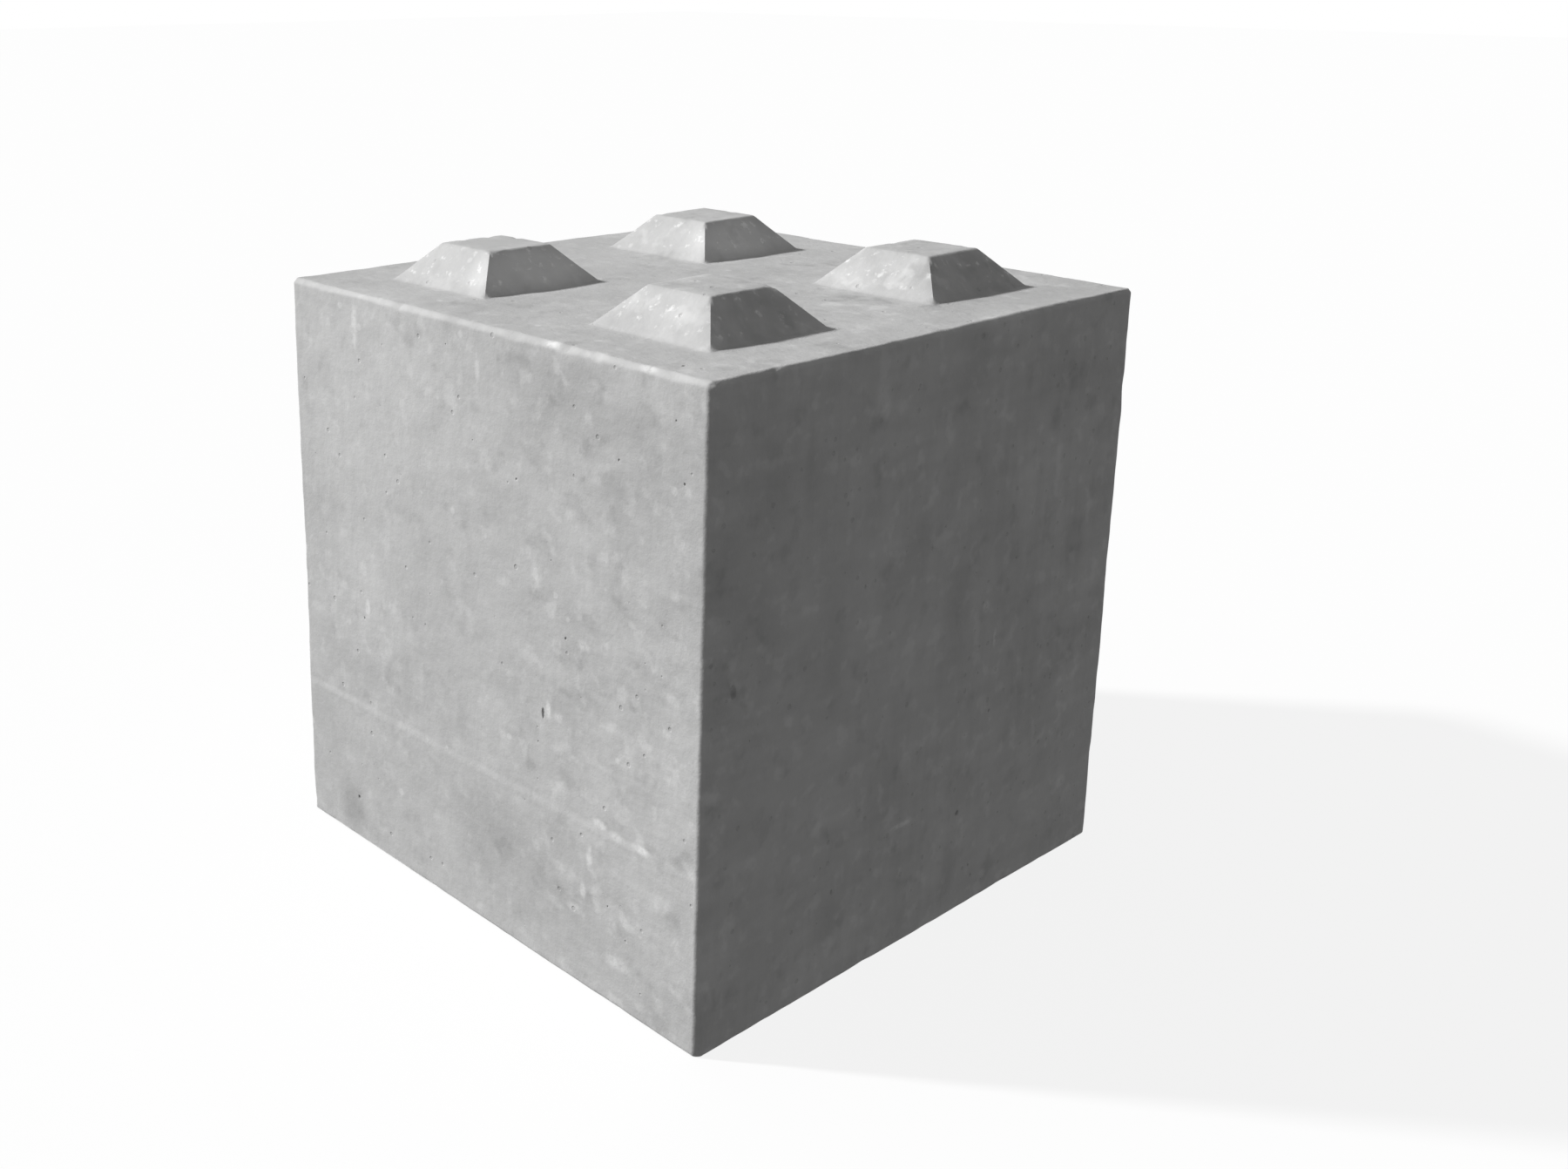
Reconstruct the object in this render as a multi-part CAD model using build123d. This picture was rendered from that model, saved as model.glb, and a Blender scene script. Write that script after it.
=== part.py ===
from build123d import *
from math import atan2, degrees
import os

# Interlocking concrete block, one casting. Millimetres, +Z up.
# The origin is the centre of the underside's outline, on the floor.
# -Y is the front, +X the right hand side.

# The cube
module = 400.0            # spacing of the studs, half a block
studs_per_side = 2        # studs along each edge of the top
block = module * studs_per_side   # length, width and height of the body

# Studs: cut off pyramids that rise from the top face
stud_base = 200.0         # side of a stud where it meets the top face
stud_top = 104.0          # side of its flat crown
stud_height = 50.0        # height of the crown above the top face
stud_edge = 2.0           # rounding of a stud's outer edges

# Pockets: the same pyramids sunk into the underside, with room to spare
pocket_clearance = 5.0    # gap all round a seated stud, and above its crown
pocket_edge = 2.0         # rounding inside a pocket's corners

# Edges of the cube
mould_chamfer = 8.0       # chamfer strips on the four upright and four top edges
sill_chamfer = 3.0        # small break of the bottom edges, at the mould's joint


def stud_places():
    """Centres of the studs, which are the centres of the pockets too."""
    return GridLocations(module, module, studs_per_side, studs_per_side)


def lean():
    """How far a stud's side comes in for each millimetre it rises."""
    return (stud_base - stud_top) / 2.0 / stud_height


def pyramid(foot, rise, rounding):
    """A cut off pyramid, foot wide at z = 0 and rise high, with rounded edges.

    Its sides have the studs' slope. It goes on below z = 0 for the length of
    its rounding, so that it joins or cuts the block over a whole volume.
    """
    wide = foot + 2.0 * lean() * rounding
    outline = Pos(0, 0, -rounding) * Rectangle(wide, wide)
    shape = extrude(outline, amount=rise + rounding, taper=degrees(atan2(lean(), 1.0)))
    crown = shape.faces().sort_by(Axis.Z)[-1].edges()
    corners = shape.edges().filter_by(lambda e: e.bounding_box().size.Z > rise)
    return fillet(list(crown) + list(corners), rounding)


def stud():
    """One stud in its place above the top face, with worn edges."""
    return Pos(0, 0, block) * pyramid(stud_base, stud_height, stud_edge)


def pocket():
    """The space for the stud of the block below: its form and the clearance.

    The mouth is wider than the stud's foot by the clearance on each side, and
    the roof is higher than its crown by the clearance.
    """
    mouth = stud_base + 2.0 * pocket_clearance
    return pyramid(mouth, stud_height + pocket_clearance, pocket_edge)


def body():
    """The cube with its mould chamfers."""
    cube = Box(block, block, block, align=(Align.CENTER, Align.CENTER, Align.MIN))
    upright = cube.edges().filter_by(Axis.Z)
    rim = cube.faces().sort_by(Axis.Z)[-1].edges()
    cube = chamfer(list(upright) + list(rim), mould_chamfer)
    sill = cube.faces().sort_by(Axis.Z)[0].edges()
    return chamfer(list(sill), sill_chamfer)


def concrete_block():
    """The whole casting."""
    shape = body()
    for place in stud_places():
        shape += place * stud()
    for place in stud_places():
        shape -= place * pocket()
    return shape


os.makedirs("parts", exist_ok=True)
casting = concrete_block().solid()
print("concrete_block", round(casting.volume / 1e9, 4), "cubic metres")
export_step(casting, "parts/concrete_block.step")
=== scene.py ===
# %% [markdown]
# # A cast concrete block, dressed for a picture
# The real object is a cube of plain concrete, cast in a steel mould. Four cut off pyramids stand
# on its top and lock into four pockets in the underside of the block above. There is nothing else
# to it: no steel shows, and nothing is fixed on. So the whole lesson is about one skin, its worn
# edges, the small holes that air leaves against the mould, and the look of bare cement.
#
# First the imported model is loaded. It is the fixed frame: its size and place are never changed.

# %% Load the frame
import math

import bpy
import numpy as np
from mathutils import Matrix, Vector


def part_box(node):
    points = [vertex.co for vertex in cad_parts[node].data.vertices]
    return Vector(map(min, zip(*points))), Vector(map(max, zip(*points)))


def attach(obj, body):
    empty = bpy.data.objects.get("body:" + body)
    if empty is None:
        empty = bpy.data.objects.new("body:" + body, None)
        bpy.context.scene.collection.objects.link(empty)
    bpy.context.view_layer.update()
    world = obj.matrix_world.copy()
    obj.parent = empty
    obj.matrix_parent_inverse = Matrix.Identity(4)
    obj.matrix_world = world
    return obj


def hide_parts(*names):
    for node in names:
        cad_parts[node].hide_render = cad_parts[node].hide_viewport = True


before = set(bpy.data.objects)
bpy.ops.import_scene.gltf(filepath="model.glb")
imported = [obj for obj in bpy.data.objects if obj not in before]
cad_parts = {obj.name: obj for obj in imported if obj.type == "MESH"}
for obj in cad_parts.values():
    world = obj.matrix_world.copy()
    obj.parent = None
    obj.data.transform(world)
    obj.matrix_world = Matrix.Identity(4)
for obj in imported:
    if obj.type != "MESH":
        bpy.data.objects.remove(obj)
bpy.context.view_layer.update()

# %% [markdown]
# ## The block's own sizes
# Everything that follows is measured in metres. The outer size is read from the frame, so the skin
# can't drift away from the solid. The other values are the form of the studs and pockets and the
# width of the bevels that the mould's corner strips leave. Along the top the bevel that is seen
# is a little narrower than the strip.

# %% Sizes
NODE = "concrete_block"
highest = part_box(NODE)[1]
HALF = highest.x              # half the width of the block
STUD_RISE = 0.050             # height of a stud above the top face
BODY = highest.z - STUD_RISE  # height of the block without its studs
CENTRE = HALF / 2             # how far a stud's centre is from the block's middle, along x and y
STUD_FOOT = 0.100             # half the side of a stud at its foot
STUD_CROWN = 0.052            # half the side of its flat crown
ROOM = 0.005                  # gap between a pocket and the stud in it
ARRIS = 0.008                 # bevel of the upright edges, and of the solid's top edges
RIM_ARRIS = 0.0070            # bevel that is seen along the top edges
SILL = 0.003                  # bevel of the bottom edges
print("body", 2 * HALF, "wide and", BODY, "high, studs", STUD_RISE, "high")

# %% [markdown]
# ## Grid lines that fall on the creases
# The skin is worked out on grids. A grid only shows a sharp crease where one of its lines runs
# along it, so the lines are not evenly spaced: each crease of a stud has a line, with a close
# neighbour on both sides that carries the rounding, and the bevels get several lines of their own.
# Smooth shading blends from one line to the next, so a bevel also needs close lines just beside
# it: without them its light would smear over a whole wide cell, and the edge would look soft.
# The same lines serve the top, the underside and the four sides, so that all of them meet.

# %% Lines across the block
def lines(stops, steps):
    """Keeps every stop, and cuts each stretch between two into equal parts no longer than its step."""
    parts = []
    for start, end, step in zip(stops, stops[1:], steps):
        count = max(1, math.ceil((end - start) / step - 1e-6))
        parts.append(np.linspace(start, end, count, endpoint=False))
    return np.append(np.concatenate(parts), stops[-1])


CREASE = 0.0025               # distance from a crease to its close neighbours
BESIDE = 0.0040               # width of the strip beside a bevel that has close lines too
OPEN, SLOPE, FLAT = 0.0095, 0.0072, 0.0110  # widest cells between the studs, on a slope, on a crown
WALL, EDGE, FINE = 0.0086, 0.0020, 0.0010  # on a side, on and beside a bevel, on the narrow bevel

near_foot, far_foot = CENTRE - STUD_FOOT, CENTRE + STUD_FOOT
near_crown, far_crown = CENTRE - STUD_CROWN, CENTRE + STUD_CROWN
half_stops, half_steps = [0.0], []
for step, crease in ((OPEN, near_foot), (SLOPE, near_crown), (FLAT, far_crown), (SLOPE, far_foot)):
    half_stops += [crease - CREASE, crease, crease + CREASE]
    half_steps += [step, CREASE, CREASE]
half_stops += [HALF - ARRIS - BESIDE, HALF - ARRIS, HALF]
half_steps += [OPEN, EDGE, EDGE]
half_run = lines(half_stops, half_steps)
RUN = np.concatenate([-half_run[:0:-1], half_run])
RISE = lines([0.0, SILL, SILL + BESIDE, BODY - ARRIS - BESIDE, BODY - ARRIS, BODY],
             [FINE, EDGE, WALL, EDGE, EDGE])
print(len(RUN), "lines across and", len(RISE), "up the sides")

# %% [markdown]
# ## A random field that numpy can work out
# Nothing cast is truly flat or straight. Blender has noise textures, but a mesh made with numpy
# needs a noise of its own. A sum of cosine waves that run in random directions gives a smooth
# field, it is one matrix product for all points at once, and a fixed seed makes it the same on
# every run. Two soft joins of surfaces, for rounded creases, belong to the same tool box.

# %% Random waves and soft joins
def waves(points, length, seed, count=28):
    """Sum of cosines, with random directions and phases, and lengths near the given one.

    It is scaled by the root of two over their number, which makes its spread about 1.
    """
    rng = np.random.default_rng(seed)
    heading = rng.normal(size=(3, count))
    heading /= np.linalg.norm(heading, axis=0)
    rate = 2 * np.pi / (length * rng.uniform(0.7, 1.5, count))
    phase = rng.uniform(0, 2 * np.pi, count)
    return np.cos(points @ (heading * rate) + phase).sum(axis=1) * math.sqrt(2 / count)


def soft_max(a, b, blend):
    """The larger of a and b, lifted by a parabola where they are closer than the blend."""
    near = np.maximum(blend - np.abs(a - b), 0.0) / blend
    return np.maximum(a, b) + near * near * blend / 4


def soft_min(a, b, blend):
    """The smaller of a and b, lowered by the same parabola."""
    return -soft_max(-a, -b, blend)


def ramp(value, start, end):
    """Rises from 0 at start to 1 at end along 3t^2 - 2t^3."""
    t = np.clip((value - start) / (end - start), 0.0, 1.0)
    return t * t * (3 - 2 * t)


# %% [markdown]
# ## Studs and pockets as one height function
# A stud is a square pyramid with its top cut off, and a pocket is the same form, a little larger.
# Seen from above both are a height over the plane. The distance from the nearest centre, counted
# as on a chess board, is the larger of the two distances along x and y, and the height falls
# in a straight line with it. A loft or a bevelled cube would do too, but a height function gives
# all four at once, fits the grid, and its slope gives the direction that faces outwards.

# %% Height of the four pyramids
RIDGE = 0.0035                # how softly two slopes meet along a ridge
FILLET = 0.0022               # how softly a slope meets the flats


def square_distance(x, y):
    """The larger of the distances to the nearest centre along x and y, softened where alike."""
    return soft_max(np.abs(np.abs(x) - CENTRE), np.abs(np.abs(y) - CENTRE), RIDGE)


def pyramids(x, y, foot, crown, rise):
    """Height: rise times the share of the way from the foot to the crown, kept between 0 and rise."""
    share = (foot - square_distance(x, y)) / (foot - crown)
    return soft_min(soft_max(share * rise, 0.0, FILLET), rise, FILLET)


def studs(x, y):
    """Height of the studs above the top face."""
    return pyramids(x, y, STUD_FOOT, STUD_CROWN, STUD_RISE)


STUD_LEAN = (STUD_FOOT - STUD_CROWN) / STUD_RISE
POCKET_RISE = STUD_RISE + ROOM
POCKET_MOUTH = STUD_FOOT + ROOM
POCKET_ROOF = POCKET_MOUTH - STUD_LEAN * POCKET_RISE


def pockets(x, y):
    """Height of the pockets' roofs above the underside."""
    return pyramids(x, y, POCKET_MOUTH, POCKET_ROOF, POCKET_RISE)


def steepness(height, x, y, reach=0.0004):
    """How fast a height function climbs along x and along y, from its values a little to each side."""
    along_x = (height(x + reach, y) - height(x - reach, y)) / (2 * reach)
    along_y = (height(x, y + reach) - height(x, y - reach)) / (2 * reach)
    return along_x, along_y


print("pocket", 2 * POCKET_MOUTH, "wide at its mouth and", round(2 * POCKET_ROOF, 4), "at its roof")

# %% [markdown]
# ## Blowholes: round holes in a square grid
# Air bubbles caught against the mould leave small round holes. A bump texture could only shade
# them. Cutting them with booleans would be slow and leave slivers. Instead a block of four by four
# cells is taken out of the grid, and its rim of sixteen vertices is joined to rings of sixteen
# vertices that close in on the hole: two that hardly dip, two that go down, and a point at the
# bottom. The rings are ovals with two slow waves round them, so that no two holes are alike.

# %% A panel with holes
CELLS = 4
side = np.arange(CELLS)
RIM = np.concatenate([
    np.stack([0 * side, side], 1),
    np.stack([side, 0 * side + CELLS], 1),
    np.stack([0 * side + CELLS, CELLS - side], 1),
    np.stack([CELLS - side, 0 * side], 1),
])
RING_REACH = np.array([1.50, 1.10, 0.88, 0.50])  # radius of each ring, in radii of the hole
RING_DEPTH = np.array([0.00, 0.04, 0.55, 0.92])  # its depth, in depths of the hole
ROOM_IN_BLOCK = 0.88          # share of a block, from its middle, that the widest ring may fill
RING_FIT = 0.98               # share of that room that the largest hole takes
TWO_WAVES, THREE_WAVES = 0.10, 0.06  # how far the waves push a ring in and out
SLACK = 1.1                   # shrinks a ring, so that its waves stay inside its room
DEPTHS = (0.6, 1.0)           # depth of a hole, in half widths
PHASES = (0, 6)               # radians, about a full turn


def rounded_rings(rim_points, across, up, places, sizes, rng):
    """Ring points: centre + reach * waves * (half width * cos a, half height * sin a).

    Here a is the bearing of the rim vertex that the point is joined to. Each hole sits as near to
    its wanted place as its block allows.
    """
    axes = np.stack([across, up], 1)
    middle = (rim_points.min(axis=1) + rim_points.max(axis=1)) / 2
    offset = (rim_points - middle[:, None]) @ axes
    bearing = np.arctan2(offset[..., 1], offset[..., 0])
    room = np.abs(offset).max(axis=1) * ROOM_IN_BLOCK
    sizes = np.minimum(sizes, room / RING_REACH[0] * RING_FIT)
    spare = room - RING_REACH[0] * sizes
    centre = middle + np.clip(places - middle @ axes, -spare, spare) @ axes.T
    wobble = 1 + TWO_WAVES * np.cos(2 * bearing + rng.uniform(*PHASES, (len(sizes), 1)))
    wobble += THREE_WAVES * np.cos(3 * bearing + rng.uniform(*PHASES, (len(sizes), 1)))
    oval = sizes[:, None] * np.stack([np.cos(bearing), np.sin(bearing)], -1) * wobble[..., None] / SLACK
    rings = centre[:, None, None] + (oval[:, None] * RING_REACH[:, None, None]) @ axes.T
    depth = sizes.min(axis=1, keepdims=True) * rng.uniform(*DEPTHS, (len(sizes), 1))
    return rings, centre, RING_DEPTH * depth, depth[:, 0]


def panel(grid, across, up, holes, rng):
    """A grid of cells as faces, with a hole in each block that is named by its first row and column.

    Gives the points, how deep each lies below the surface, and faces of four and of three corners.
    """
    starts, places, sizes = holes
    rows, columns = grid.shape[:2]
    number = np.arange(rows * columns).reshape(rows, columns)
    whole = np.ones((rows - 1, columns - 1), bool)
    inner = np.stack(np.meshgrid(side, side, indexing="ij"), -1).reshape(-1, 2)
    whole[starts[:, None, 0] + inner[:, 0], starts[:, None, 1] + inner[:, 1]] = False
    cell = np.stack([number[:-1, :-1], number[:-1, 1:], number[1:, 1:], number[1:, :-1]], -1)
    points = grid.reshape(-1, 3)
    rim = number[starts[:, None, 0] + RIM[:, 0], starts[:, None, 1] + RIM[:, 1]]
    rings, centre, ring_depth, depth = rounded_rings(points[rim], across, up, places, sizes, rng)
    count, turns, around = rings.shape[:3]
    first = len(points)
    ring_number = first + np.arange(count * turns * around).reshape(count, turns, around)
    tip = first + count * turns * around + np.arange(count)
    loops = np.concatenate([rim[:, None], ring_number], axis=1)
    after = np.roll(loops, -1, axis=2)
    bands = np.stack([loops[:, :-1], after[:, :-1], after[:, 1:], loops[:, 1:]], -1).reshape(-1, 4)
    last, beyond = loops[:, -1], after[:, -1]
    caps = np.stack([last, beyond, np.broadcast_to(tip[:, None], last.shape)], -1).reshape(-1, 3)
    all_points = np.concatenate([points, rings.reshape(-1, 3), centre])
    below = np.concatenate([np.zeros(first), np.repeat(ring_depth, around, axis=1).ravel(), depth])
    return all_points, below, cell[whole], bands, caps


# %% [markdown]
# The holes lie on a lattice of blocks that can't overlap. The few that stand out on the real block
# are listed and take the nearest blocks, the others are drawn at random, most of them very
# small. On the top and the underside only the flats may have one, because a hole across a crease
# would tear it.

# %% Choosing the blocks
LARGEST_HOLE = 0.0023         # half the width of the largest ordinary hole
SMALLEST_HOLE = 0.0006
MOSTLY_SMALL = 2.6            # power that makes small holes common and large ones rare
TALLEST = 1.35                # most times that a hole is as high as it is wide
STRAY = 0.012                 # how far one may lie from the middle of its block
FRONT_PITS = [                # across, up, half width, half height
    (0.127, 0.336, 0.0026, 0.0075),
    (-0.280, 0.064, 0.0030, 0.0034),
]
RIGHT_PITS = [
    (-0.355, 0.437, 0.0046, 0.0100),
    (0.073, 0.148, 0.0036, 0.0038),
    (-0.171, 0.120, 0.0022, 0.0040),
]


def block_starts(first_line, last_line):
    """First lines of the blocks of cells that fit one after the other between two lines."""
    return np.arange(first_line, last_line - CELLS + 1, CELLS)


def line_at(run, place):
    """Number of the line that is nearest to a place."""
    return int(np.argmin(np.abs(run - place)))


def choose_holes(up_lines, row_starts, column_starts, count, known, rng):
    """The known holes in the nearest blocks, then others in blocks that are left, one in each.

    Gives the first row and column of each block, the wanted place, and the half width and height.
    A random half width is the smallest plus the range times a random number to a power.
    """
    lattice = np.stack(np.meshgrid(row_starts, column_starts, indexing="ij"), -1).reshape(-1, 2)
    middles = np.stack([RUN[lattice[:, 1] + CELLS // 2], up_lines[lattice[:, 0] + CELLS // 2]], 1)
    known = np.array(known).reshape(-1, 4)
    taken = np.linalg.norm(middles[None] - known[:, None, :2], axis=2).argmin(axis=1)
    free = rng.permutation(np.setdiff1d(np.arange(len(lattice)), taken))[:count]
    radius = SMALLEST_HOLE + (LARGEST_HOLE - SMALLEST_HOLE) * rng.random(len(free)) ** MOSTLY_SMALL
    places = middles[free] + rng.uniform(-STRAY, STRAY, (len(free), 2))
    sizes = np.stack([radius, radius * rng.uniform(1, TALLEST, len(free))], 1)
    return (lattice[np.concatenate([taken, free])],
            np.concatenate([known[:, :2], places]), np.concatenate([known[:, 2:], sizes]))


def starts_between(run, low, high):
    """First lines of the blocks between two places, with a line to spare at both ends."""
    return block_starts(line_at(run, low) + 1, line_at(run, high) - 1)


near_bevel = HALF - ARRIS - BESIDE  # where the close lines beside the bevels begin
flats = ((-near_bevel, -far_foot), (-near_foot, near_foot), (far_foot, near_bevel))
flat_starts = np.concatenate([starts_between(RUN, low, high) for low, high in flats])
wall_columns = starts_between(RUN, -near_bevel, near_bevel)
wall_rows = starts_between(RISE, SILL + BESIDE, BODY - ARRIS - BESIDE)
print("blocks that may have a hole:", len(wall_rows) * len(wall_columns), "a side")

# %% [markdown]
# ## Six panels, welded into one closed skin
# The four sides and the two ends are first laid on a sharp cube. Where two panels meet, their
# points are the same, so a weld by rounded position closes the skin. Cells on the top and the
# underside are split into triangles along the ridges of the pyramids: the diagonal has to run
# towards the nearest centre, or the ridge would come out as a row of teeth.

# %% Lay out the cube
X_AXIS, Y_AXIS, Z_AXIS = np.eye(3)
HOLES_A_SIDE, HOLES_ON_AN_END = 22, 12  # drawn at random, besides the known ones


def wall(outward, seed, known=()):
    """Points outward * HALF + across * run + up * rise, over the lines across and the lines up."""
    across = np.cross(Z_AXIS, outward)
    rng = np.random.default_rng(seed)
    grid = outward * HALF + RUN[None, :, None] * across + RISE[:, None, None] * Z_AXIS
    holes = choose_holes(RISE, wall_rows, wall_columns, HOLES_A_SIDE, known, rng)
    return panel(grid, across, Z_AXIS, holes, rng)


def end(up, level, seed):
    """Points across * run + up * run at one level, the lines across both ways."""
    rng = np.random.default_rng(seed)
    grid = RUN[None, :, None] * X_AXIS + RUN[:, None, None] * up + level * Z_AXIS
    holes = choose_holes(RUN, flat_starts, flat_starts, HOLES_ON_AN_END, (), rng)
    return panel(grid, X_AXIS, up, holes, rng)


walls = [wall(-Y_AXIS, 0, FRONT_PITS), wall(X_AXIS, 1, RIGHT_PITS), wall(Y_AXIS, 2), wall(-X_AXIS, 3)]
ends = [end(Y_AXIS, BODY, 4), end(-Y_AXIS, 0.0, 5)]
print("panels laid out:", len(walls) + len(ends))


# %% Weld them
def split(cells, points):
    """Each cell as two triangles, cut along the diagonal that points to the nearest centre."""
    middle = points[cells].mean(axis=1)
    towards = (np.abs(middle[:, 0]) - CENTRE) * (np.abs(middle[:, 1]) - CENTRE)
    rising = towards * np.sign(middle[:, 0]) * np.sign(middle[:, 1]) > 0
    slope = points[cells[:, 2]] - points[cells[:, 0]]
    rising = rising == (slope[:, 0] * slope[:, 1] > 0)
    a, b, c, d = cells.T
    straight = np.stack([a, b, c, a, c, d], 1)
    crossed = np.stack([a, b, d, b, c, d], 1)
    return np.where(rising[:, None], straight, crossed).reshape(-1, 3)


points, below, quads, triangles, total = [], [], [], [], 0
for index, (place, deep, cells, bands, caps) in enumerate(walls + ends):
    if index < len(walls):
        quads.append(cells + total)
    else:
        triangles.append(split(cells, place) + total)
    quads.append(bands + total)
    triangles.append(caps + total)
    points.append(place)
    below.append(deep)
    total += len(place)
points, below = np.concatenate(points), np.concatenate(below)
quads, triangles = np.concatenate(quads), np.concatenate(triangles)

in_micrometres = np.round(points * 1e6).astype(np.int64)
_, first_use, same_as = np.unique(in_micrometres, axis=0, return_index=True, return_inverse=True)
same_as = same_as.ravel()
quads, triangles = same_as[quads], same_as[triangles]
used = np.unique(np.concatenate([quads.ravel(), triangles.ravel()]))
compact = np.full(len(first_use), -1)
compact[used] = np.arange(len(used))
quads, triangles = compact[quads], compact[triangles]
cube, below = points[first_use[used]], below[first_use[used]]
print("vertices", len(cube), "triangles", 2 * len(quads) + len(triangles))

# %% [markdown]
# ## Bevelled arrises that have been knocked about
# The mould's corner strips leave a bevel about 8 mm wide, and a mason would call the edge an arris.
# Handling wears it round and knocks small pieces off. Along the front it is the brightest line of
# the whole block, so its width shows. Blender's bevel modifier makes a bevel of one width, so here
# the width is a random field along the edge: every point near an edge is moved from the sharp cube
# onto a curve between a flat bevel and a round, first in plan for the upright edges, then at the
# two rims.

# %% Width of the bevel, and chips
ROUNDNESS = 1.35              # 1 is a flat bevel, 2 a quarter circle
ZONE = 0.030                  # points this near an edge can be moved by it
LONG_WAVE, LONG_SHARE = 0.110, 0.040  # slow waves in the width: length and share
SHORT_WAVE, SHORT_SHARE = 0.028, 0.045
NARROWEST, WIDEST = 0.5, 0.022                    # least share of the usual width, and most metres
CHIP_LENGTHS = (0.004, 0.013)
SHALLOWEST_CHIP = 0.2                             # as a share of the deepest, before squaring


def chips(edge_points, seed, count, deepest):
    """Adds, for each chip, its depth times a bell curve of the distance from its centre."""
    rng = np.random.default_rng(seed)
    centres = edge_points[rng.choice(len(edge_points), count, replace=False)]
    length = rng.uniform(*CHIP_LENGTHS, count)
    depth = deepest * rng.uniform(SHALLOWEST_CHIP, 1.0, count) ** 2
    distance = np.linalg.norm(edge_points[:, None] - centres, axis=2)
    return (depth * np.exp(-(distance / length) ** 2)).sum(axis=1)


def edge_width(edge_points, width, seed, chip_count, deepest):
    """The bevel's width along an edge: its usual width times slow and quick waves, plus the chips."""
    uneven = 1 + LONG_SHARE * waves(edge_points, LONG_WAVE, seed)
    uneven = uneven + SHORT_SHARE * waves(edge_points, SHORT_WAVE, seed + 1)
    lost = chips(edge_points, seed + 2, chip_count, deepest)
    return np.clip(width * uneven + lost, NARROWEST * width, WIDEST)


x, y, z = cube.T
reach = np.maximum(np.abs(x), np.abs(y))
upright = (np.abs(x) > HALF - ZONE) & (np.abs(y) > HALF - ZONE)
rim_top = (reach > HALF - ZONE) & (z > BODY - ZONE)
rim_bottom = (reach > HALF - ZONE) & (z < ZONE)

corner_line = np.stack([np.sign(x) * HALF, np.sign(y) * HALF, z], 1)[upright]
outline = cube * [1, 1, 0] * (HALF / np.maximum(reach, 1e-6))[:, None]
upright_width, top_width, bottom_width = (np.full(len(cube), w) for w in (ARRIS, RIM_ARRIS, SILL))
upright_width[upright] = edge_width(corner_line, ARRIS, seed=20, chip_count=14, deepest=0.0020)
top_width[rim_top] = edge_width(
    outline[rim_top], RIM_ARRIS, seed=30, chip_count=36, deepest=0.0030)
bottom_width[rim_bottom] = edge_width(
    outline[rim_bottom], SILL, seed=40, chip_count=24, deepest=0.0018)
print("top bevel from", top_width[rim_top].min().round(4), "to", top_width[rim_top].max().round(4))


# %% Carry the edges onto the bevels
def bevelled(u, w):
    """Scales (u, w) by its larger part over the root of u^p + w^p, p the roundness.

    This carries a square corner onto a rounded bevel.
    """
    norm = (u ** ROUNDNESS + w ** ROUNDNESS) ** (1 / ROUNDNESS)
    scale = np.divide(np.maximum(u, w), norm, out=np.ones_like(norm), where=norm > 0)
    return u * scale, w * scale


def within(distance, width):
    """How far a point is into the band of the given width along an edge, from 0 to the width."""
    return np.clip(width - distance, 0.0, width)


def sideways():
    """Direction away from the block's axis: along x or y, and it turns near an upright edge.

    Its two parts are the cubes of how far a point is into the zones of the two sides.
    """
    toward = np.stack([within(HALF - np.abs(x), ZONE), within(HALF - np.abs(y), ZONE)], 1) ** 3
    size = np.linalg.norm(toward, axis=1, keepdims=True)
    return np.stack([np.sign(x), np.sign(y)], 1) * toward / np.maximum(size, 1e-12)


into_x, into_y = within(HALF - np.abs(x), upright_width), within(HALF - np.abs(y), upright_width)
round_x, round_y = bevelled(into_x, into_y)
plan_x = np.sign(x) * (np.abs(x) - into_x + round_x)
plan_y = np.sign(y) * (np.abs(y) - into_y + round_y)

away = sideways()
top_side, top_rise = within(HALF - reach, top_width), within(BODY - z, top_width)
new_side, new_rise = bevelled(top_side, top_rise)
bottom_side, bottom_drop = within(HALF - reach, bottom_width), within(z, bottom_width)
new_bottom_side, new_drop = bevelled(bottom_side, bottom_drop)
pull = (new_side - top_side) + (new_bottom_side - bottom_side)
skin = np.stack([
    plan_x + away[:, 0] * pull,
    plan_y + away[:, 1] * pull,
    z + (new_rise - top_rise) - (new_drop - bottom_drop),
], 1)
print("skin now spans", skin.min(axis=0).round(4), skin.max(axis=0).round(4))

# %% [markdown]
# ## Raise the studs and sink the pockets
# The height functions only act on the flats. In the underside the grid is first stretched a
# little round each centre, so that the lines made for a stud's foot fall on the wider mouth.

# %% Studs and pockets
on_top, on_bottom = z > BODY - 1e-6, z < 1e-6
STRETCH_END = 0.8 * CENTRE    # distance from a centre past which nothing is stretched
STRETCH_FROM = np.array([0.0, STUD_CROWN, STUD_FOOT, STRETCH_END])
STRETCH_TO = np.array([0.0, POCKET_ROOF, POCKET_MOUTH, STRETCH_END])


def stretched(along, other):
    """One coordinate, moved from the nearest centre by the ratio of stretched to plain distance."""
    offset, other_offset = np.abs(along) - CENTRE, np.abs(other) - CENTRE
    plain = np.maximum(np.maximum(np.abs(offset), np.abs(other_offset)), 1e-9)
    ratio = np.interp(plain, STRETCH_FROM, STRETCH_TO) / plain
    ratio = np.where(plain < STRETCH_END, ratio, 1.0)
    return np.sign(along) * (CENTRE + offset * ratio)


wide_x = np.where(on_bottom, stretched(skin[:, 0], skin[:, 1]), skin[:, 0])
wide_y = np.where(on_bottom, stretched(skin[:, 1], skin[:, 0]), skin[:, 1])
skin[:, 0], skin[:, 1] = wide_x, wide_y
top_slope = steepness(studs, skin[:, 0], skin[:, 1])
roof_slope = steepness(pockets, skin[:, 0], skin[:, 1])
skin[:, 2] += np.where(on_top, studs(skin[:, 0], skin[:, 1]), 0.0)
skin[:, 2] += np.where(on_bottom, pockets(skin[:, 0], skin[:, 1]), 0.0)
print("crowns at", skin[:, 2].max().round(4))

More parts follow.
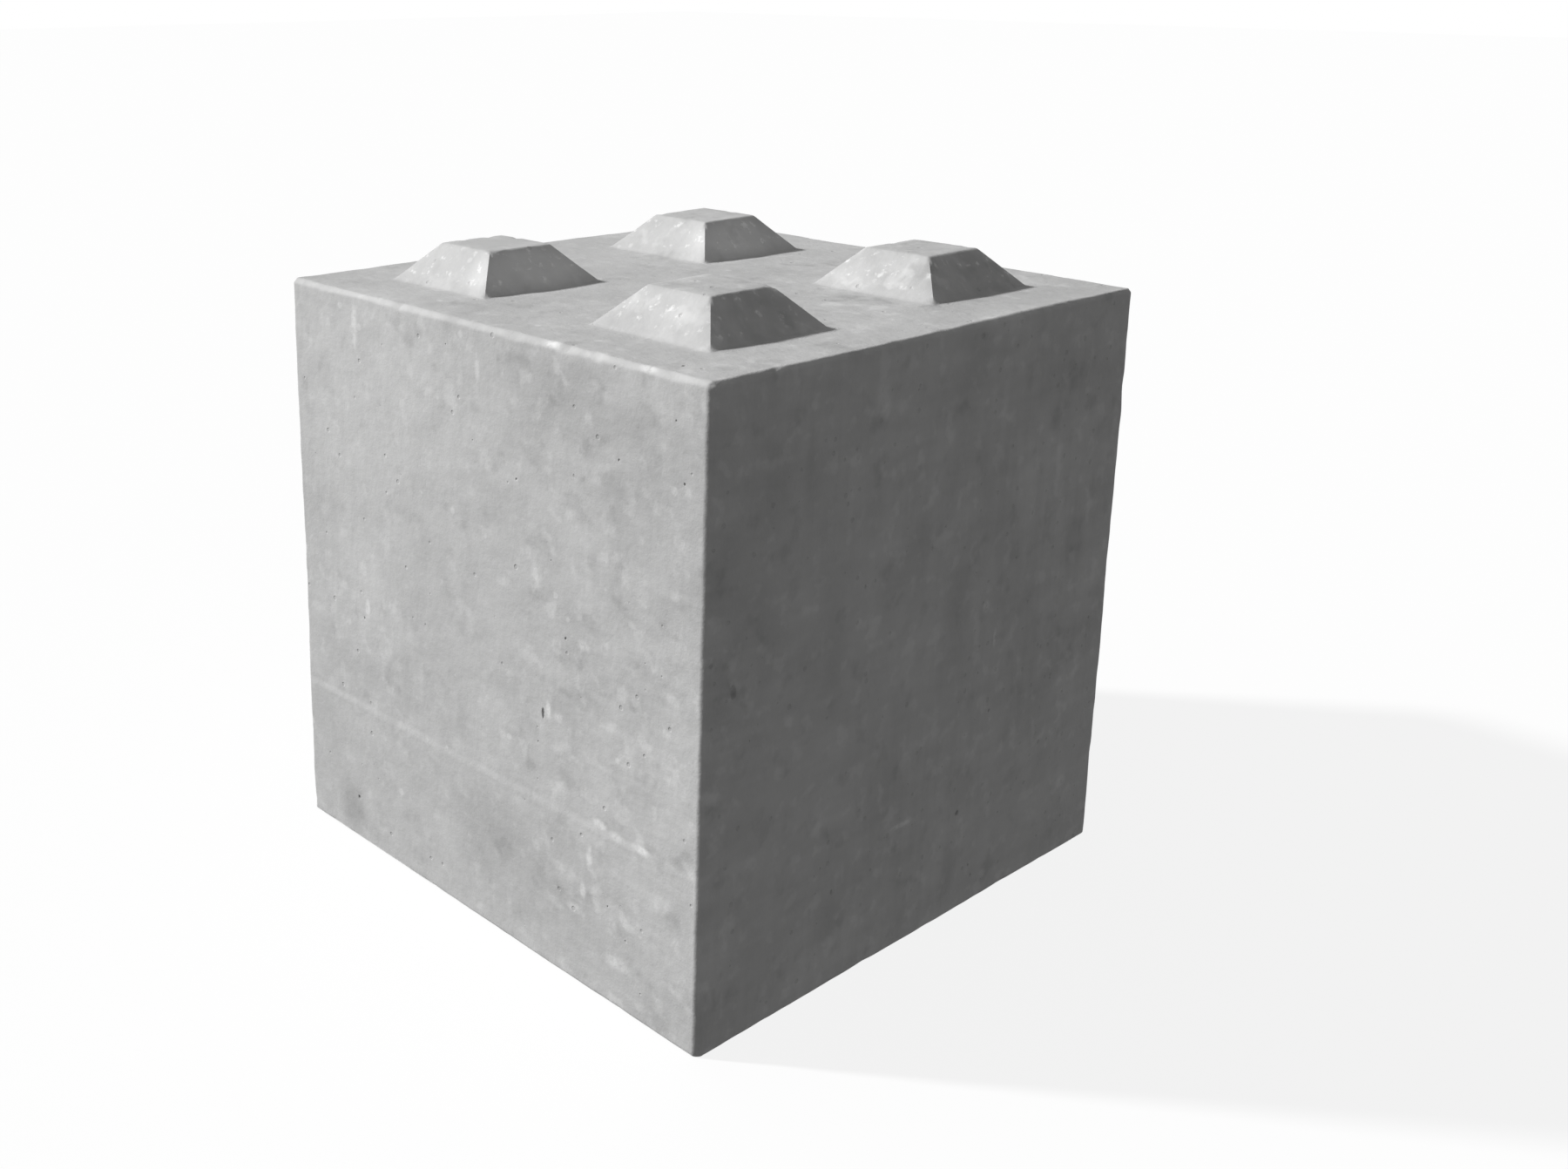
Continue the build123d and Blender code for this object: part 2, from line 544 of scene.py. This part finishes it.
# %% [markdown]
# ## Uneven faces, worn crowns, and the holes' depth
# The last step moves each point inwards along its outward direction. A slow wave makes the faces
# a little hollow here and there, as steel moulds do, a quicker one makes them lumpy, the crowns'
# edges lose crumbs, and the points of each blowhole go down to their depth. All of it goes
# inwards, so the skin never leaves the room that the solid has.

# %% Direction that faces outwards
def unit(vectors):
    """Each row divided by its length."""
    return vectors / np.maximum(np.linalg.norm(vectors, axis=1, keepdims=True), 1e-12)


side_share = np.maximum(top_side / top_width, bottom_side / bottom_width)
up_share = top_rise / top_width - bottom_drop / bottom_width
outward = np.column_stack([away * side_share[:, None], up_share])
flat_top = on_top & (reach < HALF - ZONE)
flat_bottom = on_bottom & (reach < HALF - ZONE)
outward[flat_top] = np.column_stack([-top_slope[0], -top_slope[1], np.ones(len(cube))])[flat_top]
outward[flat_bottom] = np.column_stack([roof_slope[0], roof_slope[1], -np.ones(len(cube))])[flat_bottom]
outward = unit(outward)

# %% Move the points inwards
HOLLOW, LUMPS, PLAY = 0.00045, 0.00016, 0.00075  # spread of the slow and the quick wave, mean depth
HOLLOW_WAVE, LUMP_WAVE = 0.300, 0.045  # their lengths
UNDERSIDE_SHARE = 0.25                            # the underside stands true, so it gets less of both
CRUMB_DEPTH, CRUMB_WIDTH, CRUMB_WAVE = 0.0022, 0.004, 0.016
CRUMB_START, CRUMB_FULL = 0.9, 2.4  # heights of that wave where crumbs begin and are whole

faces_uneven = PLAY + HOLLOW * waves(skin, HOLLOW_WAVE, 60) + LUMPS * waves(skin, LUMP_WAVE, 61)
faces_uneven = np.maximum(faces_uneven, 0.0) * np.where(on_bottom, UNDERSIDE_SHARE, 1.0)
from_crown = np.abs(square_distance(skin[:, 0], skin[:, 1]) - STUD_CROWN)
crumbs = ramp(waves(skin, CRUMB_WAVE, 62), CRUMB_START, CRUMB_FULL)
crumbs = crumbs * np.exp(-(from_crown / CRUMB_WIDTH) ** 2)
crumbs = np.where(on_top, CRUMB_DEPTH * crumbs, 0.0)
skin = skin - outward * (faces_uneven + crumbs + below)[:, None]
print("deepest hole", below.max().round(4), "most crumbled", crumbs.max().round(4))

# %% [markdown]
# Two numbers per vertex go along for the material: how worn the spot is, on the arrises and the
# crowns' edges, and how deep it lies in a blowhole. A material can't measure either by itself,
# while the mesh knows both exactly. The mesh then gets one object, which replaces the solid.

# %% Where the concrete is worn, and where it is hollow
SILL_SHARE, CROWN_SHARE = 0.6, 0.8  # how much of the wear these edges show
WORN_BESIDE_CROWN = 0.003     # how far from a crown's edge it reaches
WHOLLY_HOLLOW = 0.002         # depth at which a hole counts as fully hollow

arris_wear = np.minimum(into_x, into_y) / upright_width
rim_wear = np.minimum(top_side, top_rise) / top_width
sill_wear = np.minimum(bottom_side, bottom_drop) / bottom_width
crown_wear = np.where(on_top, np.exp(-(from_crown / WORN_BESIDE_CROWN) ** 2), 0.0)
worn = np.maximum.reduce([arris_wear, rim_wear, SILL_SHARE * sill_wear, CROWN_SHARE * crown_wear])
worn = np.clip(worn, 0.0, 1.0)
# The material darkens the blowholes by this, as painted shade, and makes them rougher.
hollow = np.clip(below / WHOLLY_HOLLOW, 0.0, 1.0)
print("worn vertices", (worn > 0.5).sum(), "hollow ones", (hollow > 0.5).sum())

# %% Put the skin into a mesh
SHARP = math.radians(32)      # edges that turn more than this stay sharp in smooth shading


def new_mesh(name, place, faces, values):
    """A mesh object from points and faces, with a number at each vertex for every named value."""
    mesh = bpy.data.meshes.new(name)
    mesh.from_pydata(place.tolist(), [], faces)
    for label, numbers in values.items():
        attribute = mesh.attributes.new(label, "FLOAT", "POINT")
        attribute.data.foreach_set("value", numbers.astype(np.float32))
    mesh.polygons.foreach_set("use_smooth", np.ones(len(mesh.polygons), bool))
    mesh.set_sharp_from_angle(angle=SHARP)
    mesh.validate()
    mesh.update()
    made = bpy.data.objects.new(name, mesh)
    bpy.context.scene.collection.objects.link(made)
    return made


faces = quads.tolist() + triangles.tolist()
block_skin = new_mesh("block_skin", skin, faces, {"worn": worn, "hollow": hollow})
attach(block_skin, "root")
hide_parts(NODE)
print("skin:", len(block_skin.data.vertices), "vertices,", len(block_skin.data.polygons), "faces")

# %% [markdown]
# ## Shader maths that reads like maths
# A material is a sum of many small effects. Written as node calls it is hard to read, so one small
# class wraps a socket: adding or multiplying two of them makes the Math node and wires it. Every
# other node comes from one method, which is given the node's type, its settings and its inputs.

# %% A socket that can be calculated with
class Wire:
    """An output socket of a node tree."""

    def __init__(self, tree, socket):
        self.tree, self.socket = tree, socket

    @classmethod
    def node(cls, tree, kind, settings=None, inputs=None, out=0):
        """Makes a node, applies its settings, then fills or links its inputs, and gives one output."""
        made = tree.nodes.new(kind)
        for name, value in (settings or {}).items():
            setattr(made, name, value)
        for name, value in (inputs or {}).items():
            if isinstance(value, cls):
                tree.links.new(value.socket, made.inputs[name])
            else:
                made.inputs[name].default_value = value
        return cls(tree, made.outputs[out])

    def math(self, operation, *others):
        """A Math node with this value first."""
        values = dict(enumerate((self, *others)))
        return Wire.node(self.tree, "ShaderNodeMath", {"operation": operation}, values)

    def __add__(self, other):
        return self.math("ADD", other)

    __radd__ = __add__

    def __mul__(self, other):
        return self.math("MULTIPLY", other)

    __rmul__ = __mul__

    def __sub__(self, other):
        return self.math("SUBTRACT", other)

    def __rsub__(self, other):
        return (self * -1.0).math("ADD", other)

    def bigger(self, other):
        """The larger of the two."""
        return self.math("MAXIMUM", other)

    def rise(self, start, end):
        """0 below start, 1 above end, and a smooth climb between."""
        settings = {"interpolation_type": "SMOOTHSTEP"}
        values = {"Value": self, "From Min": start, "From Max": end, "To Min": 0.0, "To Max": 1.0}
        return Wire.node(self.tree, "ShaderNodeMapRange", settings, values)

    def fall(self, start, end):
        """1 below start, 0 above end."""
        return 1.0 - self.rise(start, end)

    def scaled(self, x, y, z):
        """A vector with each part multiplied by its own number."""
        settings = {"operation": "MULTIPLY"}
        return Wire.node(self.tree, "ShaderNodeVectorMath", settings, {0: self, 1: (x, y, z)})

    def shifted(self, x, y, z):
        """A vector with a number added to each part, which picks another stretch of a noise."""
        settings = {"operation": "ADD"}
        return Wire.node(self.tree, "ShaderNodeVectorMath", settings, {0: self, 1: (x, y, z)})

    def part(self, axis):
        """The x, y or z of a vector, by its number."""
        return Wire.node(self.tree, "ShaderNodeSeparateXYZ", {}, {0: self}, out=axis)

    def length(self):
        """Length of a vector."""
        return Wire.node(self.tree, "ShaderNodeVectorMath", {"operation": "LENGTH"}, {0: self}, out=1)

    def noise(self, scale, detail=2.0, rough=0.5):
        """Cloudy noise around 0, mostly between -1 and 1."""
        values = {"Vector": self, "Scale": scale, "Detail": detail, "Roughness": rough}
        return Wire.node(self.tree, "ShaderNodeTexNoise", {}, values) * 4.0 - 2.0


# %% [markdown]
# ## The look of bare cement
# A cast face is a thin film of cement that has taken the mould's surface. It is a pale neutral
# grey with almost no gloss, and its tone drifts: broad clouds from the mix, blotches a thumb wide
# where the film dried unevenly, upright streaks where water ran down the mould, level bands where
# it settled, and fine dust. One texture image would tile and blur, so each effect is a noise of
# its own scale, added up as small changes of one grey. The film isn't equally lively everywhere:
# towards the near end of the front it is far more broken up, so a slow mask scales the quicker
# noises. All are read from the object's own coordinates, which stay put in every view.
#
# A noise call gives its scale, how many finer layers it has and how strong they are.

# %% The drifting film
CLOUD, BLOTCH, PATCH, STAIN = 0.030, 0.085, 0.110, -0.120  # how much of the grey each may add
STREAK, BAND, DUST = 0.045, 0.045, 0.010


def restlessness(place, along, depth):
    """A base, a slow noise, and a rise towards the near end, full on the front and half beside it."""
    slow = place.shifted(9.0, 5.0, 2.0).noise(3.2, 2.0).rise(-0.4, 0.9)
    near_end = along.rise(-0.2, 0.2) * (0.45 + 0.55 * depth.fall(-0.39, -0.34))
    return 0.65 + 0.6 * slow + 0.5 * near_end


def film(place, along, depth):
    """Clouds and dust, plus blotches, patches, stains, streaks and bands times the restlessness.

    Gives the blotches too, because the gloss follows them.
    """
    clouds = place.noise(2.6, 3.0, 0.55) * CLOUD
    blotches = place.noise(13.0, 4.0, 0.60) * BLOTCH
    patches = place.shifted(5.0, 2.0, 1.0).noise(38.0, 3.0, 0.5).rise(0.15, 0.80) * PATCH
    stains = place.shifted(1.0, 7.0, 4.0).noise(28.0, 3.0, 0.5).rise(0.20, 0.95) * STAIN
    where_wet = place.shifted(8.0, 3.0, 2.0).noise(4.0, 2.0).rise(-0.6, 0.7)
    streaks = place.scaled(55.0, 55.0, 6.0).noise(1.0, 2.0, 0.5) * where_wet * STREAK
    bands = place.scaled(9.0, 9.0, 48.0).shifted(0.0, 5.0, 0.0).noise(1.0, 3.0, 0.55) * BAND
    dust = place.noise(260.0, 2.0, 0.6) * DUST
    lively = restlessness(place, along, depth)
    return clouds + (blotches + patches + stains + streaks + bands) * lively + dust, blotches


print("blotches change the grey by up to", BLOTCH, "of itself, clouds by", CLOUD)

# %% [markdown]
# ## The line between two pours
# The mould was filled in two goes. Where the second concrete met the first, a little lime was
# pressed out against the steel: a soft pale line round the block, not quite level, strong in long
# stretches and nearly gone in others. It is the distance from a tilted plane that wanders with a
# slow noise. A thin strip of geometry would look stuck on, because the real line has no thickness.

# %% The pour line
POUR_HEIGHT = 0.217           # at the middle of the front
POUR_TILT = 0.024             # rise for each metre along x
POUR_WANDER = 0.0030          # up and down on top of it
POUR_CORE, POUR_RIM = 0.0010, 0.0095  # distances where it is full and where it ends


def pour_line(place, along, depth, level):
    """1 on the line and 0 away from it, weaker between its strong stretches and off the front."""
    flat = place.scaled(1.0, 1.0, 0.0)
    wander = flat.noise(4.0, 4.0, 0.55) * POUR_WANDER
    distance = (level - POUR_HEIGHT - along * POUR_TILT - wander).math("ABSOLUTE")
    stretches = 0.45 + 0.55 * flat.shifted(3.1, 0.7, 0.0).noise(9.0, 3.0, 0.6).rise(-0.9, 1.0)
    on_front = 0.3 + 0.7 * depth.fall(-0.39, -0.30)
    return distance.fall(POUR_CORE, POUR_RIM) * stretches * on_front


pour_ends = [round(POUR_HEIGHT + end * POUR_TILT, 4) for end in (-HALF, HALF)]
print("pour line from", pour_ends[0], "to", pour_ends[1])

# %% [markdown]
# ## Marks that have a place of their own
# Noise gives the right kind of surface, but a block is known by a few marks: a dark patch at its
# foot, a scuff on the arris, short runs of lime. Each is written down as a centre, half sizes and
# a strength. One oval mask serves them all: soft for the broad clouds, and broken by a noise for
# the small ones, so that their rims are ragged. The list also holds painted light on the studs'
# shaded slopes: painted bounce light makes those of the two left studs paler than one lamp makes
# them, and painted shade makes those of the right ones darker.

# %% Clouds and marks
CLOUDS_AND_PAINTED_SLOPE_LIGHT = [  # centre, half sizes, how much paler or darker
    ((-0.24, -HALF, 0.68), (0.30, 0.05, 0.24), 0.10),  # front
    ((-0.25, -HALF, 0.40), (0.14, 0.05, 0.14), 0.07),
    ((0.24, -HALF, 0.735), (0.24, 0.05, 0.055), -0.08),
    ((0.30, -HALF, 0.655), (0.11, 0.05, 0.055), -0.08),
    ((0.09, -HALF, 0.115), (0.17, 0.05, 0.100), -0.10),
    ((0.050, -HALF, 0.155), (0.12, 0.05, 0.045), -0.05),
    ((-0.240, -HALF, 0.415), (0.045, 0.05, 0.060), 0.07),
    ((-0.290, -HALF, 0.045), (0.038, 0.05, 0.046), -0.20),
    ((HALF, -0.34, 0.60), (0.05, 0.10, 0.24), -0.08),  # right hand side
    ((HALF, 0.05, 0.46), (0.05, 0.035, 0.08), -0.09),
    ((HALF, -0.09, 0.24), (0.05, 0.050, 0.07), -0.09),
    ((HALF, 0.30, 0.47), (0.05, 0.030, 0.06), -0.12),
    ((HALF, 0.20, 0.29), (0.05, 0.055, 0.18), -0.07),
    ((HALF, 0.25, 0.58), (0.05, 0.15, 0.045), 0.08),
    ((HALF, 0.29, 0.69), (0.05, 0.13, 0.055), -0.07),
    ((HALF, -0.236, 0.675), (0.05, 0.022, 0.07), -0.09),
    ((HALF, -0.187, 0.450), (0.05, 0.026, 0.06), -0.07),
    ((HALF, -0.175, 0.090), (0.05, 0.035, 0.035), -0.09),
    ((HALF, 0.062, 0.065), (0.05, 0.024, 0.06), -0.12),
    ((HALF, -0.335, 0.040), (0.05, 0.080, 0.070), -0.08),
    ((0.34, 0.20, BODY), (0.07, 0.22, 0.02), -0.10),  # top, beside the right rim
]
# Painted light on the studs' shaded right slopes: painted bounce light on the two left studs, painted
# shade on the two right ones.
SLOPE_OUT, SLOPE_UP = (STUD_FOOT + STUD_CROWN) / 2, STUD_RISE / 2  # middle of a stud's right slope
for x_side, y_side, change in ((1, -1, -0.17), (1, 1, -0.08), (-1, -1, 0.40), (-1, 1, 0.34)):
    middle = (x_side * CENTRE + SLOPE_OUT, y_side * CENTRE, BODY + SLOPE_UP)
    CLOUDS_AND_PAINTED_SLOPE_LIGHT.append((middle, (0.05, 0.13, 0.05), change))
MARKS = [  # the same for small ones with ragged rims
    ((0.146, -HALF, BODY), (0.020, 0.012, 0.009), 0.55),  # scuffs of the front arris
    ((0.302, -HALF, BODY), (0.017, 0.012, 0.009), 0.58),
    ((0.232, -HALF, 0.231), (0.015, 0.010, 0.007), 0.42),  # lime on the pour line
    ((0.262, -HALF, 0.226), (0.016, 0.010, 0.008), 0.28),
    ((0.304, -HALF, 0.227), (0.018, 0.010, 0.007), 0.38),
    ((-0.250, -HALF, 0.755), (0.008, 0.010, 0.034), 0.30),  # short runs of lime
    ((0.010, -HALF, 0.745), (0.006, 0.010, 0.024), 0.24),
    ((0.023, -HALF, 0.634), (0.014, 0.010, 0.016), 0.18),
    ((0.115, -HALF, 0.510), (0.010, 0.010, 0.030), 0.20),
    ((-0.239, -HALF, 0.364), (0.007, 0.010, 0.016), 0.36),
    ((0.139, -HALF, 0.346), (0.006, 0.010, 0.014), 0.42),
    ((0.157, -HALF, 0.342), (0.010, 0.010, 0.008), 0.34),
    ((0.203, -HALF, 0.448), (0.013, 0.010, 0.008), 0.32),
    ((0.214, -HALF, 0.180), (0.007, 0.010, 0.020), 0.34),
    ((0.203, -HALF, 0.130), (0.006, 0.010, 0.015), 0.38),
    ((0.188, -HALF, 0.100), (0.016, 0.010, 0.009), 0.28),
    ((0.266, -HALF, 0.060), (0.030, 0.010, 0.012), 0.24),
    ((HALF, -0.039, 0.170), (0.010, 0.026, 0.005), 0.29),  # right hand side
    ((HALF, 0.112, 0.424), (0.010, 0.008, 0.010), 0.29),
    ((HALF, 0.136, 0.374), (0.010, 0.004, 0.016), 0.25),
    ((HALF, -0.118, 0.735), (0.010, 0.018, 0.030), 0.14),
    ((HALF, 0.320, 0.108), (0.010, 0.014, 0.012), 0.20),
]


SPOT_CORE, SPOT_RIM = 0.25, 1.15  # shares of the half sizes where it is full and gone


def spot(place, centre, half_sizes):
    """1 at the centre of an oval and 0 outside it, from the length of (place - centre) / half sizes."""
    local = place.shifted(*(-part for part in centre)).scaled(*(1 / part for part in half_sizes))
    return local.length().fall(SPOT_CORE, SPOT_RIM)


print(len(CLOUDS_AND_PAINTED_SLOPE_LIGHT), "clouds and", len(MARKS), "marks")

# %% [markdown]
# ## Specks, flecks and scuffs
# Pin holes show as dark specks of painted shade, crumbs of lime as paler flecks, and the stud slopes
# have been rubbed by the blocks that stood on them. Specks and flecks are cells of a Voronoi pattern.
# Each cell has a random number: only the highest get a dot, and the higher the number, the larger it
# is.

# %% Dots and scuffs
DOT_SOFT = 0.5                # how much a dot's reach goes beyond its radius
DOT_RIM = 0.12                # width of its soft rim, in cells


def dots(place, scale, share, size):
    """1 inside small round dots: a rise over (1 + soft) times the radius, less the distance.

    The distance is from the cell's own point. The radius is what the cell's random number has
    beyond 1 - share, times size / share. A cell whose number stays below that has no dot.
    """
    values = {"Vector": place, "Scale": scale}
    distance = Wire.node(place.tree, "ShaderNodeTexVoronoi", {}, values)
    lot = Wire.node(place.tree, "ShaderNodeTexVoronoi", {}, values, out=1)
    draw = Wire.node(place.tree, "ShaderNodeSeparateColor", {}, {0: lot}) - (1.0 - share)
    radius = draw.bigger(0.0) * (size / share)
    inside = (radius * (1.0 + DOT_SOFT) - distance).rise(0.0, DOT_RIM)
    return inside * draw.rise(0.0, 0.001)


def slopes_of_studs(level):
    """1 between a little above the studs' feet and a little below their crowns."""
    return level.rise(BODY + 0.004, BODY + 0.014) * level.fall(BODY + 0.044, BODY + 0.050)


# %% [markdown]
# ## All tones together
# Everything is added to 1 and multiplied by the grey of clean cement. Adding keeps the effects
# apart: each can be made stronger or switched off by its own number without touching the others.

# %% Tones of the concrete
GREY = 0.500                  # share of light that the clean film gives back
POUR, FLECK, SCUFF, RUBBED, WEAR = 0.13, 0.16, 0.44, 0.03, 0.07  # how much of it each adds
# Specks and pits take tone away as painted shade in the pin holes and blowholes.
PAINTED_SPECK_SHADE, PAINTED_PIT_SHADE = 0.10, 0.16       # and how much each takes away


def concrete_tones(tree):
    """Grey times (1 + all changes), and the parts that the relief and the gloss use again."""
    place = Wire.node(tree, "ShaderNodeTexCoord", out=3)
    worn_here, hollow_here = (
        Wire.node(tree, "ShaderNodeAttribute", {"attribute_name": name}, out=2)
        for name in ("worn", "hollow"))
    along, depth, level = (place.part(axis) for axis in range(3))

    changes, blotches = film(place, along, depth)
    line = pour_line(place, along, depth, level)
    specks = dots(place, scale=75.0, share=0.10, size=0.20)
    flecks = dots(place.shifted(2.0, 9.0, 5.0), scale=46.0, share=0.05, size=0.22)
    on_studs = slopes_of_studs(level)
    scuffs = place.shifted(4.0, 4.0, 9.0).noise(75.0, 3.0, 0.6).rise(0.35, 0.95) * on_studs
    broken = place.shifted(6.0, 1.0, 3.0).noise(45.0, 3.0, 0.6).rise(-1.0, 1.2)
    ragged = place.shifted(3.0, 8.0, 6.0).noise(110.0, 3.0, 0.6).rise(-1.1, 0.3)

    tone = 1.0 + changes + line * POUR + flecks * FLECK
    tone = tone + scuffs * SCUFF + on_studs * RUBBED + worn_here * broken * WEAR
    # Clouds of tone, and the painted bounce light and shade on the studs' shaded slopes.
    for centre, half_sizes, change in CLOUDS_AND_PAINTED_SLOPE_LIGHT:
        tone = tone + spot(place, centre, half_sizes) * change
    for centre, half_sizes, change in MARKS:
        tone = tone + spot(place, centre, half_sizes) * ragged * change
    # Painted shade in the pin holes and the blowholes.
    tone = tone - specks * PAINTED_SPECK_SHADE - hollow_here * PAINTED_PIT_SHADE
    shared = {"place": place, "blotches": blotches, "specks": specks, "line": line}
    shared["hollow"] = hollow_here
    return tone * GREY, shared


# %% [markdown]
# ## Relief and gloss
# The relief is far too fine for the mesh: sand grains and lumps of up to a quarter of a
# millimetre, specks as pin holes, and the lip of the pour line. Bump shades it, from heights in
# metres. Gloss is weak and uneven, because the film is denser in some places than in others. The
# grey has a trace less blue than a true neutral, like cement.

# %% The material
def bare_tree(owner):
    """The emptied node tree of a material or a world."""
    owner.use_nodes = True
    owner.node_tree.nodes.clear()
    return owner.node_tree


def close_tree(surface, kind="ShaderNodeOutputMaterial"):
    """Adds the output node and links the surface to it."""
    last = surface.tree.nodes.new(kind)
    surface.tree.links.new(surface.socket, last.inputs["Surface"])


GRAIN, LUMP, PIN_HOLE, LIP = 0.00006, 0.00024, 0.0008, 0.0004  # heights and depths
BUMP_STRENGTH = 0.85
ROUGH, DENSER, ROUGHER = 0.88, -0.6, 0.08  # base, change with the blotches, and in a hollow
MIRRORED = 0.14               # specular level, where 0.5 is that of glass or varnish
BLUE_SHARE = 0.996


def cast_concrete():
    """The block's material: tones, bump and gloss on one Principled shader."""
    made = bpy.data.materials.new("cast_concrete")
    tree = bare_tree(made)
    grey, parts = concrete_tones(tree)
    place = parts["place"]
    blue = grey * BLUE_SHARE
    colour = Wire.node(tree, "ShaderNodeCombineColor", {}, {0: grey, 1: grey, 2: blue})
    grains = place.noise(420.0, 3.0, 0.6) * GRAIN
    lumps = place.noise(80.0, 3.0, 0.55) * LUMP
    height = grains + lumps - parts["specks"] * PIN_HOLE + parts["line"] * LIP
    bump = {"Height": height, "Strength": BUMP_STRENGTH, "Distance": 1.0}
    relief = Wire.node(tree, "ShaderNodeBump", {}, bump)
    gloss = ROUGH + parts["blotches"] * DENSER + parts["hollow"] * ROUGHER
    close_tree(Wire.node(tree, "ShaderNodeBsdfPrincipled", {}, {
        "Base Color": colour, "Roughness": gloss, "Normal": relief, "Specular IOR Level": MIRRORED,
    }))
    return made


block_skin.data.materials.append(cast_concrete())
print("material nodes:", len(block_skin.data.materials[0].node_tree.nodes))

# %% [markdown]
# ## Floor, sky and lamp
# The picture is a cut out on white: one strong soft lamp from the left and a little from above,
# hardly any light from the right, so that side is almost five times darker. A sun lamp gives
# parallel light, and a few degrees of width soften its shadows. The floor is pale. It would be
# grey in the picture, so for rays from the camera most of it shows plain white, and the rest
# keeps the block's shadow. A white floor would also throw so much light upwards that the dark
# side lost its depth, and its own shadow would darken the foot of that side. So to the block the
# floor is a weak and even light, the lower half of the sky.

# %% Floor
WHITE_SHARE = 0.86            # how much of the floor shows as plain white
FLOOR_SHOWN = 0.95            # the floor's tone where it is seen
FLOOR_LIGHT = 0.19            # the light that it gives to the block
FLOOR_SIDE = 60.0


def seen_directly(tree):
    """1 for rays from the camera, a mirror or glass, 0 for the light that falls on things."""
    kinds = {name: Wire.node(tree, "ShaderNodeLightPath", out=name) for name in
             ("Is Camera Ray", "Is Glossy Ray", "Is Transmission Ray")}
    return kinds["Is Camera Ray"].bigger(kinds["Is Glossy Ray"]).bigger(kinds["Is Transmission Ray"])


def glow(tree, strength, kind="ShaderNodeEmission"):
    """An even white light, from a surface or from the sky."""
    return Wire.node(tree, kind, {}, {"Color": (1, 1, 1, 1), "Strength": strength})


def pale_floor():
    """Mostly white with a trace of shadow where it is seen, and a weak glow to everything else."""
    made = bpy.data.materials.new("pale_floor")
    tree = bare_tree(made)
    paint = (FLOOR_SHOWN, FLOOR_SHOWN, FLOOR_SHOWN, 1)
    matt = Wire.node(tree, "ShaderNodeBsdfDiffuse", {}, {"Color": paint})
    shown = Wire.node(tree, "ShaderNodeMixShader", {}, {0: WHITE_SHARE, 1: matt, 2: glow(tree, 1.0)})
    parts = {0: seen_directly(tree), 1: glow(tree, FLOOR_LIGHT), 2: shown}
    close_tree(Wire.node(tree, "ShaderNodeMixShader", {}, parts))
    return made


corner = FLOOR_SIDE / 2
corners = [(-corner, -corner, 0), (corner, -corner, 0), (corner, corner, 0), (-corner, corner, 0)]
floor_mesh = bpy.data.meshes.new("floor")
floor_mesh.from_pydata(corners, [], [(0, 1, 2, 3)])
floor = bpy.data.objects.new("floor", floor_mesh)
floor.data.materials.append(pale_floor())
bpy.context.scene.collection.objects.link(floor)

# %% Sky and lamp
SKY_LIGHT = 0.22              # light from all round
SUN_LIGHT = 4.26              # strength of the lamp
SUN_WIDTH = 3.5               # degrees
TO_SUN = Vector((-0.650, -0.545, 0.530)).normalized()

world = bpy.data.worlds.new("studio")
bpy.context.scene.world = world
sky_tree = bare_tree(world)
sky_parts = {0: seen_directly(sky_tree)}
for number, strength in ((1, SKY_LIGHT), (2, 1.0)):
    sky_parts[number] = glow(sky_tree, strength, "ShaderNodeBackground")
close_tree(Wire.node(sky_tree, "ShaderNodeMixShader", {}, sky_parts), "ShaderNodeOutputWorld")

sun = bpy.data.lights.new("key", "SUN")
sun.energy, sun.angle = SUN_LIGHT, math.radians(SUN_WIDTH)
lamp = bpy.data.objects.new("key", sun)
lamp.rotation_mode = "QUATERNION"
lamp.rotation_quaternion = (-TO_SUN).to_track_quat("-Z", "Y")
bpy.context.scene.collection.objects.link(lamp)
print("lamp", round(math.degrees(math.asin(TO_SUN.z)), 1), "degrees above the floor")

# %% [markdown]
# ## Camera
# The picture was taken from a little above the block's top, with its near upright edge turned
# towards the viewer. The bearing, the tilt, the place and the focal length were fitted to the
# corners of the block and its studs. The picture's centre isn't where the lens points, so part
# of that offset is given to the lens shift.

# %% Camera
IMAGE = (1800, 1342)          # pixels
FOCAL = 1928.0                # pixels
SHIFT = (-250, -180)          # where the lens points, from the image's centre, in pixels right and down
BEARING, TILT = math.radians(48.91), math.radians(15.48)
STANDS = Vector((1.554, -1.604, 1.213))

lens = bpy.data.cameras.new("camera")
lens.sensor_width = 36.0
lens.lens = FOCAL / IMAGE[0] * lens.sensor_width
lens.shift_x, lens.shift_y = -SHIFT[0] / IMAGE[0], SHIFT[1] / IMAGE[0]
lens.clip_start, lens.clip_end = 0.05, 200.0
camera = bpy.data.objects.new("camera", lens)
back = Vector((math.sin(BEARING) * math.cos(TILT), -math.cos(BEARING) * math.cos(TILT), math.sin(TILT)))
camera.location = STANDS
camera.rotation_mode = "QUATERNION"
camera.rotation_quaternion = (-back).to_track_quat("-Z", "Y")
bpy.context.scene.collection.objects.link(camera)
bpy.context.scene.camera = camera
bpy.context.scene.view_settings.view_transform = "Standard"
